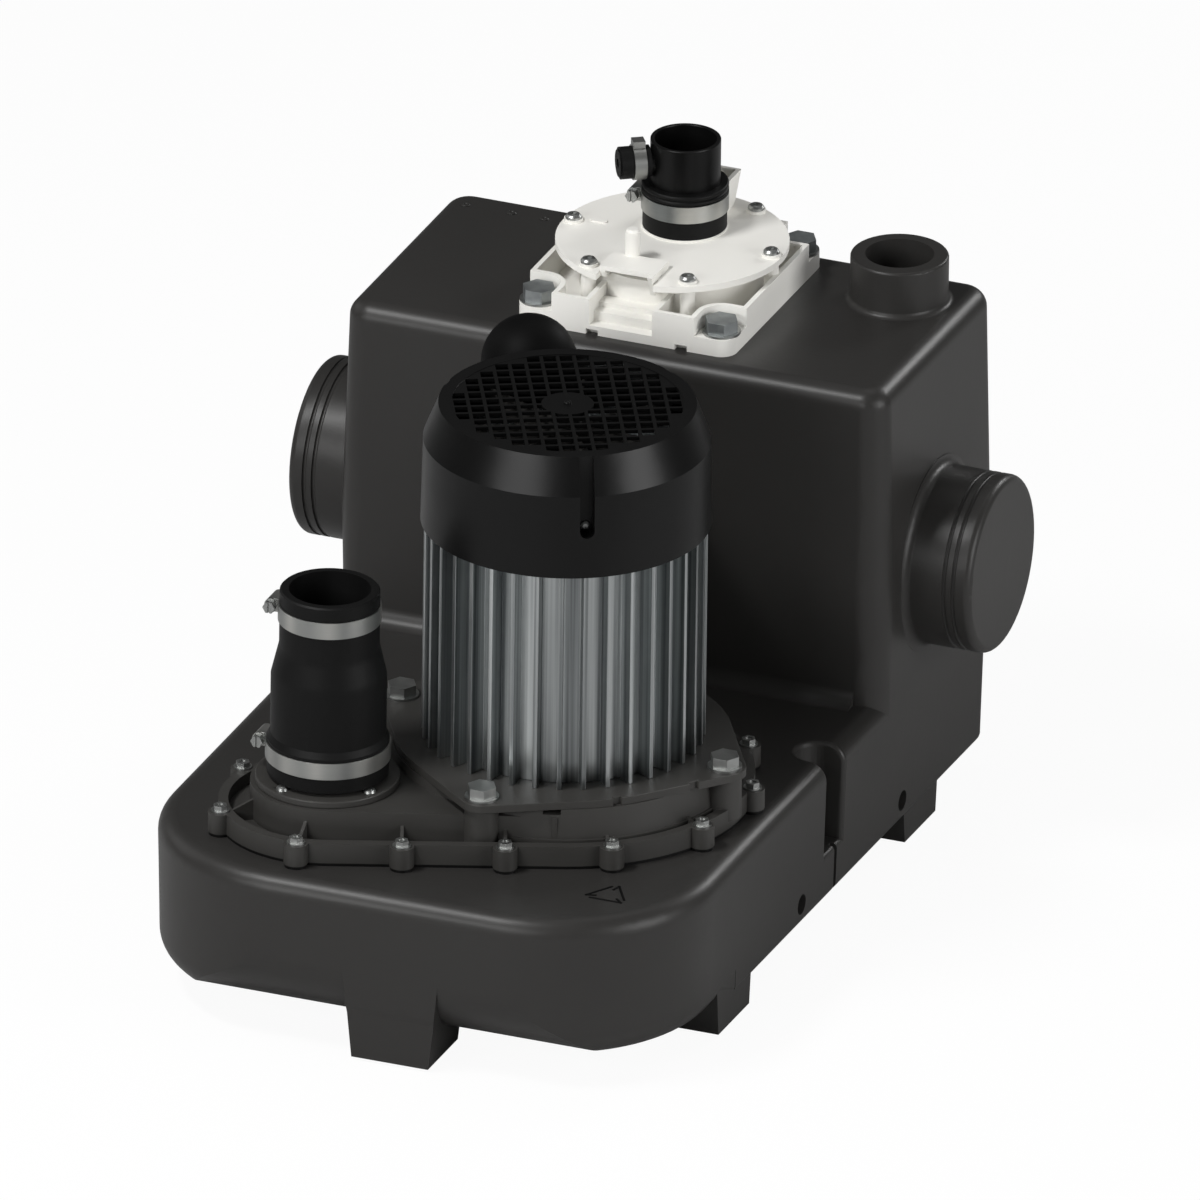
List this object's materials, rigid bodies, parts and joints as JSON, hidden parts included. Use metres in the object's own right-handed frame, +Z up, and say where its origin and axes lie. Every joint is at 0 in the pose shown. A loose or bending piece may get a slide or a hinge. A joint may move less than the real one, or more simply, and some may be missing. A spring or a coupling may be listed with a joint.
{
  "type": "macerator toilet pump",
  "caption": "Macerator pump on a moulded holding tank, with a finned motor, a sleeved outlet with a non-return flap, closed side inlets, a top inlet, a level sensor and a vent.",
  "frame": {"origin": "on the floor under the middle of the tank's box: the centre of the bounding box's bottom face", "axes": "+Z up, -Y towards the low deck with the pump, +X to the right as seen from the deck side, along the side inlets' axis"},
  "size_m": [0.445, 0.56, 0.4128],
  "materials": {
    "tank_plastic": "satin, fine moulded grain",
    "pump_plastic": "gloss black",
    "rubber": "satin black",
    "stainless": "plain",
    "band_steel": "bright band",
    "dark_steel": "dark plated",
    "alloy": "extruded, satin",
    "core_steel": "stacked laminations",
    "copper": "varnished copper wire",
    "white_plastic": "satin white"
  },
  "bodies": {
    "frame": {"tank": "tank_plastic", "cover_gasket": "rubber", "casing_cover": "pump_plastic", "cover_screws": "stainless", "volute_plate": "pump_plastic", "volute_screws": "stainless", "strainer_basket": "stainless", "shaft_seal": "rubber", "outlet_flange": "pump_plastic", "flange_screws": "stainless", "valve_seat": "pump_plastic", "flap_pin": "stainless", "outlet_sleeve": "rubber", "upper_clamp": "band_steel", "lower_clamp": "band_steel", "clamp_screws": "stainless", "lower_shield": "pump_plastic", "shield_bolts": "stainless", "shield_washers": "band_steel", "lower_bearing": "stainless", "motor_frame": "alloy", "stator_core": "core_steel", "stator_windings": "copper", "upper_shield": "alloy", "upper_bearing": "stainless", "fan_cover": "pump_plastic", "fan_cover_screws": "stainless", "terminal_box": "pump_plastic", "terminal_lid": "pump_plastic", "lid_fixings": "stainless", "cable_gland": "pump_plastic", "capacitor": "alloy", "capacitor_cap": "pump_plastic", "sensor_gasket": "rubber", "sensor_base": "white_plastic", "sensor_bolts": "dark_steel", "sensor_washers": "band_steel", "diaphragm": "rubber", "micro_switch": "pump_plastic", "sensor_lid": "white_plastic", "lid_screws": "stainless", "pressure_tube": "white_plastic", "vent_pipe": "pump_plastic", "vent_sleeve": "rubber", "vent_clamp": "band_steel", "stub_cap": "rubber", "stub_clamp": "band_steel"},
    "rotor": {"shaft": "stainless", "rotor_core": "core_steel", "cooling_fan": "pump_plastic", "impeller": "stainless", "cutter_blade": "stainless", "blade_nut": "stainless"},
    "flap": {"valve_flap": "rubber"},
    "plunger": {"plunger": "white_plastic"}
  },
  "joints": [
    {"name": "rotor_spin", "type": "hinge", "parent": "frame", "child": "rotor", "pos_m": [0.0435, -0.09, 0.25], "axis": [0, 0, 1], "continuous": true},
    {"name": "flap_swing", "type": "hinge", "parent": "frame", "child": "flap", "pos_m": [-0.0705, -0.1655, 0.1865], "axis": [-1, 0, 0], "range_deg": [0, 60]},
    {"name": "plunger_slide", "type": "slide", "parent": "frame", "child": "plunger", "axis": [0, 0, 1], "range_m": [0, 0.003], "stiffness_N_per_m": 150}
  ]
}
